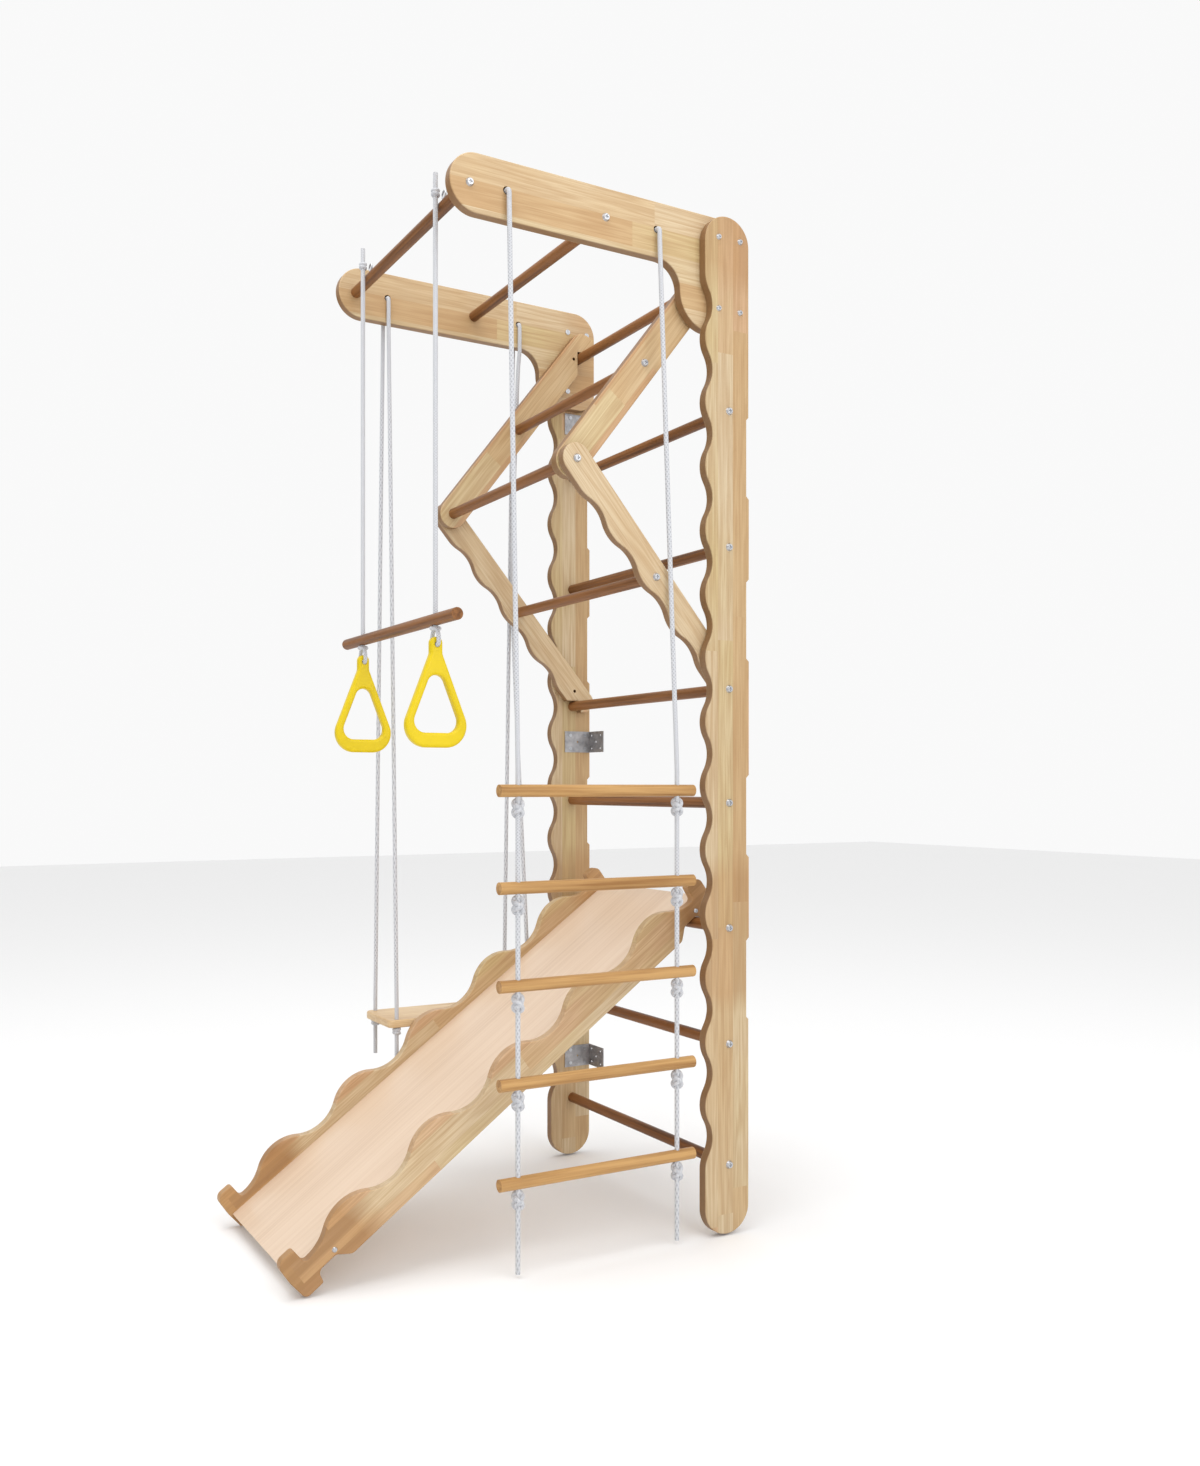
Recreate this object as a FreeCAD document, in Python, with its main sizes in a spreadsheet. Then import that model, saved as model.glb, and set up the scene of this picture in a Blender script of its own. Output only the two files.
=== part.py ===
import FreeCAD
import Part
import math
import os

# Wall-mounted wooden climbing set.
# Frame: +Z up, the wall is the plane y = 0, the set stands out towards -Y,
# and the origin lies on the wall at floor level, midway between the two posts.

V = FreeCAD.Vector
doc = FreeCAD.newDocument("ClimbingSet")
sheet = doc.addObject("Spreadsheet::Sheet", "Sizes")

SIZES = [
    ("overall_width", 700.0),
    ("overall_height", 2200.0),
    ("board_thick", 24.0),
    ("edge_radius", 2.5),
    ("post_depth", 116.0),
    ("post_wave", 19.0),
    ("post_valleys", 14.0),
    ("post_first_valley", 212.0),
    ("post_top_valley_drop", 199.0),
    ("lap_front_z", 1050.0),
    ("lap_back_z", 1118.0),
    ("lap_split_depth", 37.0),
    ("relief_depth", 7.0),
    ("relief_length", 180.0),
    ("relief_one_z", 548.0),
    ("relief_two_z", 903.0),
    ("relief_three_z", 1330.0),
    ("relief_four_z", 1684.0),
    ("rung_dia", 25.0),
    ("rung_off_wall", 53.0),
    ("wall_rung_one_z", 1780.0),
    ("wall_rung_two_z", 1485.5),
    ("wall_rung_three_z", 1178.5),
    ("wall_rung_four_z", 932.0),
    ("wall_rung_five_z", 661.0),
    ("wall_rung_six_z", 410.0),
    ("wall_rung_seven_z", 148.7),
    ("bolt_dia", 8.0),
    ("bolt_bite", 50.0),
    ("bolt_head_dia", 17.5),
    ("bolt_head_high", 4.5),
    ("bolt_gap", 0.25),
    ("pivot_gap", 0.05),
    ("arm_reach", 705.5),
    ("arm_high", 118.0),
    ("arm_above_post", 4.5),
    ("arm_leg_depth", 165.0),
    ("arm_leg_drop", 251.5),
    ("arm_inside_radius", 56.0),
    ("arm_foot_radius", 77.5),
    ("arm_heel_radius", 45.0),
    ("arm_bolt_dia", 6.0),
    ("arm_bolt_head_dia", 13.0),
    ("nut_sleeve_dia", 9.0),
    ("nut_sleeve_long", 14.0),
    ("nut_head_high", 1.8),
    ("arm_bolt_front", 81.0),
    ("arm_bolt_back", 24.0),
    ("arm_bolt_top_drop", 52.5),
    ("arm_bolt_low_drop", 206.5),
    ("tip_rung_out", 663.0),
    ("middle_rung_out", 352.0),
    ("arm_rung_drop", 61.0),
    ("top_rung_drop", 121.5),
    ("rope_dia", 10.0),
    ("rope_hole_dia", 16.0),
    ("rope_front_out", 582.3),
    ("rope_back_out", 225.5),
    ("bracket_thick", 2.0),
    ("bracket_high", 55.0),
    ("bracket_post_leg", 76.0),
    ("bracket_wall_leg", 72.0),
    ("bracket_hole_dia", 5.4),
    ("bracket_row_x", 44.0),
    ("bracket_row_z", 34.0),
    ("bracket_screw_dia", 4.5),
    ("bracket_top_gap", 33.0),
    ("bracket_middle_z", 1085.0),
    ("bracket_low_z", 257.5),
    ("knee_out", 420.0),
    ("knee_z", 1638.0),
    ("upper_board_width", 69.0),
    ("upper_board_past_rung", 23.3),
    ("upper_side_gap", 2.0),
    ("hook_gap", 0.5),
    ("upper_rung_along", 293.5),
    ("lock_hole_dia", 8.5),
    ("lower_board_thick", 22.0),
    ("lower_side_gap", 1.5),
    ("knee_gap", 2.5),
    ("lower_half_depth", 32.5),
    ("lower_wave", 12.0),
    ("slide_half_width", 231.0),
    ("slide_rail_thick", 22.0),
    ("slide_span", 946.0),
    ("slide_rail_deep", 94.0),
    ("slide_wave", 38.0),
    ("slide_foot_radius", 12.0),
    ("slide_bed_level", 39.5),
    ("slide_bed_thick", 12.0),
    ("swing_seat_wide", 160.0),
    ("swing_seat_thick", 19.0),
    ("swing_seat_top_z", 415.0),
    ("swing_seat_long", 402.0),
    ("swing_rope_spread", 138.0),
    ("ladder_side_gap", 11.0),
    ("ladder_rung_long", 465.0),
    ("ladder_rung_one_z", 959.0),
    ("ladder_rung_two_z", 767.0),
    ("ladder_rung_three_z", 573.5),
    ("ladder_rung_four_z", 379.5),
    ("ladder_rung_five_z", 184.0),
    ("knot_dia", 25.0),
    ("knot_high", 44.0),
    ("trapeze_bar_long", 620.0),
    ("trapeze_bar_z", 1305.0),
    ("trapeze_rope_span", 410.0),
    ("trapeze_rope_gap", 1.5),
    ("eye_rise", 24.5),
    ("eye_radius", 8.0),
    ("eye_wire_dia", 4.0),
    ("ladder_front_out", 563.0),
    ("ladder_back_out", 181.5),
    ("ladder_rung_front_out", 605.0),
    ("ring_half_foot", 88.0),
    ("ring_high", 224.0),
    ("ring_thick", 20.0),
    ("ring_bar_deep", 30.0),
    ("ring_under_bar", 22.5),
    ("ring_neck_half", 13.0),
]
for row, (name, value) in enumerate(SIZES, 1):
    sheet.set("A%d" % row, name)
    sheet.set("B%d" % row, str(value))
    sheet.setAlias("B%d" % row, name)
doc.recompute()


def size(name):
    return float(sheet.get(name))


# Places worked out once from the sheet.
THICK = size("board_thick")
HALF = size("overall_width") / 2
HEIGHT = size("overall_height")
POST_IN = HALF - THICK
ARM_IN = POST_IN - THICK
ARM_MID = POST_IN - THICK / 2
RUNG_R = size("rung_dia") / 2
RUNG_Y = -size("rung_off_wall")
ROPE_R = size("rope_dia") / 2
ARM_TOP = HEIGHT + size("arm_above_post")
ARM_LOW = ARM_TOP - size("arm_high")
ARM_AXIS = ARM_TOP - size("arm_high") / 2
ARM_FOOT = ARM_TOP - size("arm_leg_drop")
TOP_RUNG_Z = ARM_TOP - size("top_rung_drop")
TIP_Z = ARM_TOP - size("arm_rung_drop")
WALL_RUNGS = [size("wall_rung_%s_z" % word) for word in
              ("one", "two", "three", "four", "five", "six", "seven")]
LADDER_RUNGS = [size("ladder_rung_%s_z" % word) for word in
                ("one", "two", "three", "four", "five")]
FRONT_Y = -size("rope_front_out")
BACK_Y = -size("rope_back_out")


# ---------------------------------------------------------------- outlines
# Every outline lies in the plane x = 0 and is drawn as (y, z).

def at(point):
    return V(0, point[0], point[1])


def rounded(points):
    """Edges of an open polyline of (y, z, corner radius)."""
    edges = []
    pen = at(points[0])
    for before, here, after in zip(points, points[1:], points[2:]):
        a = (at(before) - at(here)).normalize()
        b = (at(after) - at(here)).normalize()
        corner = at(here)
        if here[2] > 0:
            half = a.getAngle(b) / 2
            run = here[2] / math.tan(half)
            start = corner + a * run
            end = corner + b * run
            middle = (a + b).normalize()
            peak = corner + middle * (here[2] / math.sin(half) - here[2])
        else:
            start = corner
            end = corner
        if (start - pen).Length > 1e-4:
            edges.append(Part.makeLine(pen, start))
        if here[2] > 0:
            edges.append(Part.Arc(start, peak, end).toShape())
        pen = end
    if (at(points[-1]) - pen).Length > 1e-4:
        edges.append(Part.makeLine(pen, at(points[-1])))
    return edges


def wave(start, along, outward, pitch, rise, halves):
    """Tangent arcs that swing between two lines, rise apart, pitch / 2 per half."""
    quarter = pitch / 4
    radius = (quarter ** 2 + (rise / 2) ** 2) / rise
    edges = []

    def spot(distance, lift):
        return start + along * distance + outward * lift

    eighth = radius - math.sqrt(radius ** 2 - (quarter / 2) ** 2)
    first = spot(0, 0)
    middle = spot(quarter, rise / 2)
    edges.append(Part.Arc(first, spot(quarter / 2, eighth), middle).toShape())
    for index in range(1, halves):
        lift = rise if index % 2 else 0
        here = index * pitch / 2
        low = spot(here - quarter, rise / 2)
        high = spot(here + quarter, rise / 2)
        edges.append(Part.Arc(low, spot(here, lift), high).toShape())
    end = halves * pitch / 2
    last = rise if halves % 2 else 0
    inward = -eighth if halves % 2 else eighth
    edges.append(Part.Arc(spot(end - quarter, rise / 2),
                          spot(end - quarter / 2, last + inward),
                          spot(end, last)).toShape())
    return edges


def outline(name, edges):
    """Closed face kept as the profile that a board is cut from."""
    wire = Part.Wire(Part.__sortEdges__(edges))
    feature = doc.addObject("Part::Feature", name)
    feature.Shape = Part.Face(wire)
    return feature


# ---------------------------------------------------------------- helpers

def rod(name, radius, long, x_at, y, z, axis="x"):
    """Cylinder bound to the sheet, starting at its low end."""
    turn = {"x": FreeCAD.Rotation(V(0, 1, 0), 90),
            "y": FreeCAD.Rotation(V(1, 0, 0), -90),
            "z": FreeCAD.Rotation()}[axis]
    item = doc.addObject("Part::Cylinder", name)
    item.setExpression("Radius", radius)
    item.setExpression("Height", long)
    item.Placement = FreeCAD.Placement(V(0, y, z), turn)
    item.setExpression("Placement.Base.x", x_at)
    return item


def cut(name, base, tools):
    item = doc.addObject("Part::Cut", name)
    item.Base = base
    if len(tools) == 1:
        item.Tool = tools[0]
    else:
        item.Tool = doc.addObject("Part::MultiFuse", name + "_tools")
        item.Tool.Shapes = tools
    item.Label = name
    return item


def plank(name, profile, thick, x_at, keep=None):
    """Board cut from a profile, its long edges rounded where keep says so."""
    board = doc.addObject("Part::Extrusion", name + "_blank")
    board.Base = profile
    board.DirMode = "Custom"
    board.Dir = V(1, 0, 0)
    board.Solid = True
    board.setExpression("LengthFwd", thick)
    board.setExpression("Placement.Base.x", x_at)
    doc.recompute()
    if keep is None:
        return board
    radius = size("edge_radius")
    chosen = []
    low = board.Shape.BoundBox.XMin
    high = board.Shape.BoundBox.XMax
    for number, edge in enumerate(board.Shape.Edges, 1):
        box = edge.BoundBox
        flat = box.XLength < 1e-6 and (abs(box.XMin - low) < 1e-6 or abs(box.XMax - high) < 1e-6)
        if flat and keep(edge.CenterOfMass):
            chosen.append((number, radius, radius))
    soft = doc.addObject("Part::Fillet", name + "_rounded")
    soft.Base = board
    soft.Edges = chosen
    doc.recompute()
    return soft


def group(name, solids):
    """Several equal loose pieces kept as one sub-part."""
    item = doc.addObject("Part::Feature", name)
    item.Shape = Part.makeCompound(solids)
    item.Placement = FreeCAD.Placement()
    item.Label = name
    return item


def placed(shape, point, turn=None):
    copy = shape.copy()
    copy.Placement = FreeCAD.Placement(point, turn or FreeCAD.Rotation())
    return copy


ABOUT_Z = FreeCAD.Rotation(V(0, 0, 1), 180)
SIDES = (("left", -1), ("right", 1))


def mirror_at(side, inner, thick):
    """Expression for the low x of a board, from its inner face on the right."""
    if side > 0:
        return inner
    return "-(%s) - (%s)" % (inner, thick)


ARM_IN_X = "Sizes.overall_width / 2 - 2 * Sizes.board_thick"
POST_IN_X = "Sizes.overall_width / 2 - Sizes.board_thick"

# ---------------------------------------------------------------- posts
# Each post is two boards half-lapped at mid height, with a wavy front edge,
# round ends and four shallow reliefs on the wall side.
depth = size("post_depth")
end_radius = depth / 2
top_valley = HEIGHT - size("post_top_valley_drop")
pitch = (top_valley - size("post_first_valley")) / (size("post_valleys") - 1)
low_bulge = size("post_first_valley") - pitch / 2
high_bulge = top_valley + pitch / 2
back = []
relief = size("relief_depth")
half_relief = size("relief_length") / 2
for word in ("four", "three", "two", "one"):
    middle = size("relief_%s_z" % word)
    back.append((0, middle + half_relief, 0))
    back.append((-relief, middle + half_relief - relief, 0))
    back.append((-relief, middle - half_relief + relief, 0))
    back.append((0, middle - half_relief, 0))
post_edges = rounded([(-depth, high_bulge, 0),
                      (-depth, HEIGHT, end_radius),
                      (0, HEIGHT, end_radius)]
                     + back
                     + [(0, 0, end_radius),
                        (-depth, 0, end_radius),
                        (-depth, low_bulge, 0)])
post_edges += wave(V(0, -depth, low_bulge), V(0, 0, 1), V(0, 1, 0),
                   pitch, size("post_wave"), 2 * int(size("post_valleys")))
post_profile = outline("post_profile", post_edges)

lap_front = doc.addObject("Part::Box", "lap_front")
lap_front.setExpression("Length", "Sizes.overall_width + 100")
lap_front.setExpression("Width", "Sizes.post_depth")
lap_front.setExpression("Height", "Sizes.lap_front_z + 50")
lap_front.setExpression("Placement.Base.x", "-Sizes.overall_width / 2 - 50")
lap_front.setExpression("Placement.Base.y", "-Sizes.lap_split_depth - Sizes.post_depth")
lap_front.setExpression("Placement.Base.z", "-50")
lap_back = doc.addObject("Part::Box", "lap_back")
lap_back.setExpression("Length", "Sizes.overall_width + 100")
lap_back.setExpression("Width", "Sizes.lap_split_depth + 50")
lap_back.setExpression("Height", "Sizes.lap_back_z + 50")
lap_back.setExpression("Placement.Base.x", "-Sizes.overall_width / 2 - 50")
lap_back.setExpression("Placement.Base.y", "-Sizes.lap_split_depth")
lap_back.setExpression("Placement.Base.z", "-50")
lap_tool = doc.addObject("Part::MultiFuse", "lap_tool")
lap_tool.Shapes = [lap_front, lap_back]


def bolt_row(name, radius, start, long, places):
    return [rod("%s_%d" % (name, number), radius, long, start, y, z)
            for number, (y, z) in enumerate(places)]


RUNG_HOLE = "Sizes.bolt_dia / 2 + Sizes.bolt_gap"
ARM_HOLE = "Sizes.arm_bolt_dia / 2 + Sizes.bolt_gap"
ROPE_HOLE = "Sizes.rope_hole_dia / 2"
ARM_BOLTS = [(-size("arm_bolt_front"), ARM_TOP - size("arm_bolt_top_drop")),
             (-size("arm_bolt_back"), ARM_TOP - size("arm_bolt_top_drop")),
             (-size("arm_bolt_front"), ARM_TOP - size("arm_bolt_low_drop")),
             (-size("arm_bolt_back"), ARM_TOP - size("arm_bolt_low_drop"))]
for word, side in SIDES:
    start = mirror_at(side, POST_IN_X, "Sizes.board_thick")
    board = plank("post_" + word, post_profile, "Sizes.board_thick", start,
                  lambda c: c.y < -relief - 1)
    wide_start = "%s - 1" % start
    wide = "Sizes.board_thick + 2"
    rung_holes = bolt_row("post_%s_rung_hole" % word, RUNG_HOLE, wide_start, wide,
                          [(RUNG_Y, z) for z in WALL_RUNGS])
    arm_holes = bolt_row("post_%s_arm_hole" % word, ARM_HOLE, wide_start, wide, ARM_BOLTS)
    drilled = cut("post_%s_drilled" % word, board, rung_holes + arm_holes)
    upper = doc.addObject("Part::Cut", "post_%s_upper" % word)
    upper.Base = drilled
    upper.Tool = lap_tool
    upper.Label = "post_%s_upper" % word
    lower = doc.addObject("Part::Common", "post_%s_lower" % word)
    lower.Base = drilled
    lower.Tool = lap_tool
    lower.Label = "post_%s_lower" % word

# ---------------------------------------------------------------- arms
# L-shaped boards screwed to the inside of the posts, reaching out over the floor.
leg = size("arm_leg_depth")
arm_round = size("arm_high") / 2
reach = size("arm_reach")
arm_edges = rounded([(-reach + arm_round, ARM_TOP, 0),
                     (0, ARM_TOP, arm_round),
                     (0, ARM_FOOT, size("arm_heel_radius")),
                     (-leg, ARM_FOOT, size("arm_foot_radius")),
                     (-leg, ARM_LOW, size("arm_inside_radius")),
                     (-reach, ARM_LOW, arm_round),
                     (-reach, ARM_TOP, arm_round),
                     (-reach + arm_round, ARM_TOP, 0)])
arm_profile = outline("arm_profile", arm_edges)
TIP_Y = -size("tip_rung_out")
MIDDLE_Y = -size("middle_rung_out")
for word, side in SIDES:
    start = mirror_at(side, ARM_IN_X, "Sizes.board_thick")
    board = plank("arm_" + word, arm_profile, "Sizes.board_thick", start, lambda c: True)
    wide_start = "%s - 1" % start
    wide = "Sizes.board_thick + 2"
    tools = bolt_row("arm_%s_bolt_hole" % word, ARM_HOLE, wide_start, wide, ARM_BOLTS)
    tools += bolt_row("arm_%s_rung_hole" % word, RUNG_HOLE, wide_start, wide,
                      [(TIP_Y, TIP_Z), (MIDDLE_Y, TIP_Z), (RUNG_Y, TOP_RUNG_Z)])
    tools += bolt_row("arm_%s_rope_hole" % word, ROPE_HOLE, wide_start, wide,
                      [(FRONT_Y, ARM_AXIS), (BACK_Y, ARM_AXIS)])
    # Counterbores that take the sleeves of the barrel nuts.
    sleeve_start = start
    if side < 0:
        sleeve_start = "%s + Sizes.board_thick - Sizes.nut_sleeve_long" % start
    tools += bolt_row("arm_%s_sleeve_hole" % word, "Sizes.nut_sleeve_dia / 2",
                      sleeve_start, "Sizes.nut_sleeve_long", ARM_BOLTS)
    cut("arm_" + word, board, tools)


# ---------------------------------------------------------------- rungs
# Round bars between two boards, drilled at both ends for the bolts.

def rung(name, half_x, y, z, extra=()):
    long = "2 * (%s)" % half_x
    bar = rod(name + "_bar", "Sizes.rung_dia / 2", long, "-(%s)" % half_x, y, z)
    bores = [rod(name + "_bore_left", RUNG_HOLE, "Sizes.bolt_bite + 1",
                 "-(%s) - 1" % half_x, y, z),
             rod(name + "_bore_right", RUNG_HOLE, "Sizes.bolt_bite + 1",
                 "%s - Sizes.bolt_bite" % half_x, y, z)]
    return cut(name, bar, bores + list(extra))


for number, z in enumerate(WALL_RUNGS, 1):
    rung("wall_rung_%d" % number, POST_IN_X, RUNG_Y, z)
eye_bores = [rod("eye_bore_" + word, "Sizes.eye_wire_dia / 2", "20",
                 "%d * Sizes.trapeze_rope_span / 2" % side, TIP_Y, TIP_Z, "z")
             for word, side in SIDES]
rung("arm_rung_tip", ARM_IN_X, TIP_Y, TIP_Z, eye_bores)
rung("arm_rung_middle", ARM_IN_X, MIDDLE_Y, TIP_Z)
rung("arm_rung_top", ARM_IN_X, RUNG_Y, TOP_RUNG_Z)


# ---------------------------------------------------------------- bolts

def cross(width, long, deep, x_at):
    """Cross recess sunk from x_at towards -x."""
    one = Part.makeBox(deep, width, long, V(x_at - deep, -width / 2, -long / 2))
    two = Part.makeBox(deep, long, width, V(x_at - deep, -long / 2, -width / 2))
    return one.fuse(two)


def bolt(head_dia, head_high, dia, shank):
    """Bolt along x: the shank ends at x = -shank and the head starts at x = 0."""
    head = Part.makeCone(head_dia / 2, head_dia / 2 * 0.72, head_high, V(0, 0, 0), V(1, 0, 0))
    stem = Part.makeCylinder(dia / 2, shank, V(-shank, 0, 0), V(1, 0, 0))
    recess = cross(head_dia * 0.11, head_dia * 0.46, head_high * 0.5, head_high)
    return head.fuse(stem).cut(recess)


head_dia = size("bolt_head_dia")
head_high = size("bolt_head_high")
bite = size("bolt_bite") - 1
rung_bolt = bolt(head_dia, head_high, size("bolt_dia"), THICK + bite)
rung_bolts = []
for word, side in SIDES:
    turn = ABOUT_Z if side < 0 else None
    for z in WALL_RUNGS:
        rung_bolts.append(placed(rung_bolt, V(side * HALF, RUNG_Y, z), turn))
    for y in (TIP_Y, MIDDLE_Y):
        rung_bolts.append(placed(rung_bolt, V(side * POST_IN, y, TIP_Z), turn))
    # The top rung's bolts are sunk level with the arm, under the post.
    hidden = Part.makeCylinder(size("bolt_dia") / 2, THICK + bite,
                               V(-THICK - bite, 0, 0), V(1, 0, 0))
    rung_bolts.append(placed(hidden, V(side * POST_IN, RUNG_Y, TOP_RUNG_Z), turn))
group("rung_bolts", rung_bolts)

arm_shank = 2 * THICK - 2
arm_bolt = bolt(size("arm_bolt_head_dia"), 3.5, size("arm_bolt_dia"), arm_shank)
nut_head = Part.makeCylinder(size("arm_bolt_head_dia") / 2, size("nut_head_high"),
                             V(-size("nut_head_high"), 0, 0), V(1, 0, 0))
nut_sleeve = Part.makeCylinder(size("nut_sleeve_dia") / 2, size("nut_sleeve_long") - 0.5,
                               V(0, 0, 0), V(1, 0, 0))
nut_bore = Part.makeCylinder(size("arm_bolt_dia") / 2, 50, V(0.5, 0, 0), V(1, 0, 0))
nut_slot = Part.makeBox(1.0, 1.6, size("arm_bolt_head_dia"),
                        V(-size("nut_head_high"), -0.8, -size("arm_bolt_head_dia") / 2))
arm_nut = nut_head.fuse(nut_sleeve).cut(nut_bore).cut(nut_slot)
arm_bolts = []
arm_nuts = []
for word, side in SIDES:
    turn = ABOUT_Z if side < 0 else None
    for y, z in ARM_BOLTS:
        arm_bolts.append(placed(arm_bolt, V(side * HALF, y, z), turn))
        arm_nuts.append(placed(arm_nut, V(side * ARM_IN, y, z), turn))
group("arm_bolts", arm_bolts)
group("arm_nuts", arm_nuts)

# ---------------------------------------------------------------- wall brackets
# Steel angles inside the posts, one leg on the post and one against the wall.
steel = size("bracket_thick")
tall = size("bracket_high")
post_leg = size("bracket_post_leg")
wall_leg = size("bracket_wall_leg")
row_x = size("bracket_row_x") / 2
row_z = size("bracket_row_z") / 2
angle = Part.makeBox(steel, post_leg, tall, V(-steel, -post_leg, -tall / 2))
angle = angle.fuse(Part.makeBox(wall_leg, steel, tall, V(-wall_leg, -steel, -tall / 2)))
angle = angle.removeSplitter()
hole_r = size("bracket_hole_dia") / 2
wall_mid = wall_leg / 2
post_mid = post_leg / 2
FLANGE_HOLES = [(sx * row_x, sz * row_z) for sx in (-1, 1) for sz in (-1, 1)]
for dx, dz in FLANGE_HOLES + [(0, 0)]:
    angle = angle.cut(Part.makeCylinder(hole_r, 3 * steel, V(-wall_mid + dx, -2 * steel, dz),
                                        V(0, 1, 0)))
    angle = angle.cut(Part.makeCylinder(hole_r, 3 * steel, V(-2 * steel, -post_mid + dx, dz),
                                        V(1, 0, 0)))
BRACKET_Z = [ARM_FOOT - size("bracket_top_gap"), size("bracket_middle_z"), size("bracket_low_z")]
screw_r = size("bracket_screw_dia") / 2
screw = Part.makeCylinder(screw_r, 18, V(0, 0, 0), V(1, 0, 0))
screw = screw.fuse(Part.makeCone(screw_r * 1.5, screw_r * 1.9, 1.8, V(-0.0, 0, 0), V(-1, 0, 0)))
screw = screw.cut(cross(1.0, 4.4, 1.0, -0.8))
brackets = []
bracket_screws = []
for word, side in SIDES:
    for z in BRACKET_Z:
        one = angle if side > 0 else angle.mirror(V(0, 0, 0), V(1, 0, 0))
        brackets.append(placed(one, V(side * POST_IN, 0, z)))
        for dx, dz in FLANGE_HOLES:
            spot = V(side * (POST_IN - steel), -post_mid + dx, z + dz)
            bracket_screws.append(placed(screw, spot, ABOUT_Z if side < 0 else None))
group("wall_brackets", brackets)
group("bracket_screws", bracket_screws)

# Pilot holes of the bracket screws in the posts.
for word, side in SIDES:
    for part in ("upper", "lower"):
        whole = doc.getObject("post_%s_%s" % (word, part))
        pilots = []
        for number, z in enumerate(BRACKET_Z):
            for count, (dx, dz) in enumerate(FLANGE_HOLES):
                start = POST_IN_X + " - 1"
                if side < 0:
                    start = "-(%s) - 17" % POST_IN_X
                pilots.append(rod("pilot_%s_%s_%d_%d" % (word, part, number, count),
                                  "Sizes.bracket_screw_dia / 2", "18",
                                  start, -post_mid + dx, z + dz))
        whole.Label = "post_%s_%s_plain" % (word, part)
        ready = cut("post_%s_%s_ready" % (word, part), whole, pilots)
        ready.Label = "post_%s_%s" % (word, part)

# ---------------------------------------------------------------- eye bolts
# Two small screw eyes stand on the tip rung and hold the trapeze.
EYE_X = size("trapeze_rope_span") / 2
EYE_Z = TIP_Z + size("eye_rise")
wire_r = size("eye_wire_dia") / 2
eye_r = size("eye_radius")
eye = Part.makeTorus(eye_r, wire_r, V(0, 0, 0), V(0, 1, 0))
eye = eye.fuse(Part.makeCylinder(wire_r, size("eye_rise") - eye_r, V(0, 0, -size("eye_rise")),
                                 V(0, 0, 1)))
group("eye_bolts", [placed(eye, V(side * EYE_X, TIP_Y, EYE_Z)) for word, side in SIDES])


# ---------------------------------------------------------------- ropes
# A rope is a plain tube: straight runs joined by tangent arcs.

def tube(points, radius=None):
    """Tube along (x, y, z, bend radius) points; prints its length and radii."""
    radius = radius or ROPE_R
    spots = [V(*p[:3]) for p in points]
    pieces = []
    pen = spots[0]
    total = 0.0
    bends = []
    for index in range(1, len(points) - 1):
        here = spots[index]
        a = (spots[index - 1] - here).normalize()
        b = (spots[index + 1] - here).normalize()
        half = a.getAngle(b) / 2
        bend = points[index][3]
        start = here + a * (bend / math.tan(half))
        end = here + b * (bend / math.tan(half))
        peak = here + (a + b).normalize() * (bend / math.sin(half) - bend)
        if (start - pen).Length > 1e-4:
            pieces.append(Part.LineSegment(pen, start).toShape())
            total += (start - pen).Length
        pieces.append(Part.Arc(start, peak, end).toShape())
        total += bend * (math.pi - 2 * half)
        bends.append(round(bend, 1))
        pen = end
    pieces.append(Part.LineSegment(pen, spots[-1]).toShape())
    total += (spots[-1] - pen).Length
    path = Part.Wire(pieces)
    ring = Part.Wire(Part.makeCircle(radius, spots[0], (spots[1] - spots[0])))
    solid = path.makePipeShell([ring], True, False)
    expected = math.pi * radius ** 2 * total
    print("rope length %.1f mm, bends %s, volume ratio %.4f" % (total, bends,
                                                              solid.Volume / expected))
    return solid


def rope(name, points, extra=None):
    item = doc.addObject("Part::Feature", name)
    shape = tube(points)
    if extra is not None:
        shape = shape.fuse(extra)
    item.Shape = shape
    item.Placement = FreeCAD.Placement()
    item.Label = name
    return item


def knot(x, y, low, tall, dia):
    """Collar of a knot round a vertical rope."""
    body = Part.makeCylinder(dia / 2, tall, V(x, y, low))
    body = body.makeFillet(min(3.5, dia / 6), [edge for edge in body.Edges
                                               if edge.Length > 2 * dia])
    return body.cut(Part.makeCylinder(ROPE_R, tall + 2, V(x, y, low - 1)))


# Rope stubs of the ladder: a stopper knot inside the arm, out through the hole, then down.
LADDER_X = POST_IN + size("ladder_side_gap")
bend = size("ladder_side_gap")
for word, y in (("front", FRONT_Y), ("back", BACK_Y)):
    stopper = Part.makeCylinder(11, 18, V(ARM_IN - 18, y, ARM_AXIS), V(1, 0, 0))
    stopper = stopper.makeFillet(4, [edge for edge in stopper.Edges if edge.Length > 60])
    rope("ladder_stub_" + word, [(ARM_IN - 9, y, ARM_AXIS),
                                 (LADDER_X, y, ARM_AXIS, bend),
                                 (LADDER_X, y, ARM_AXIS - 20.5)], stopper)

# Rope saddles of the swing: through the hole and down both faces of the arm.
leg_off = THICK / 2 + ROPE_R + 1
for word, y in (("front", FRONT_Y), ("back", BACK_Y)):
    rope("swing_loop_" + word, [(-ARM_MID - leg_off, y, ARM_LOW),
                                (-ARM_MID - leg_off, y, ARM_AXIS, 11),
                                (-ARM_MID + leg_off, y, ARM_AXIS, 11),
                                (-ARM_MID + leg_off, y, ARM_LOW)])

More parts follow.
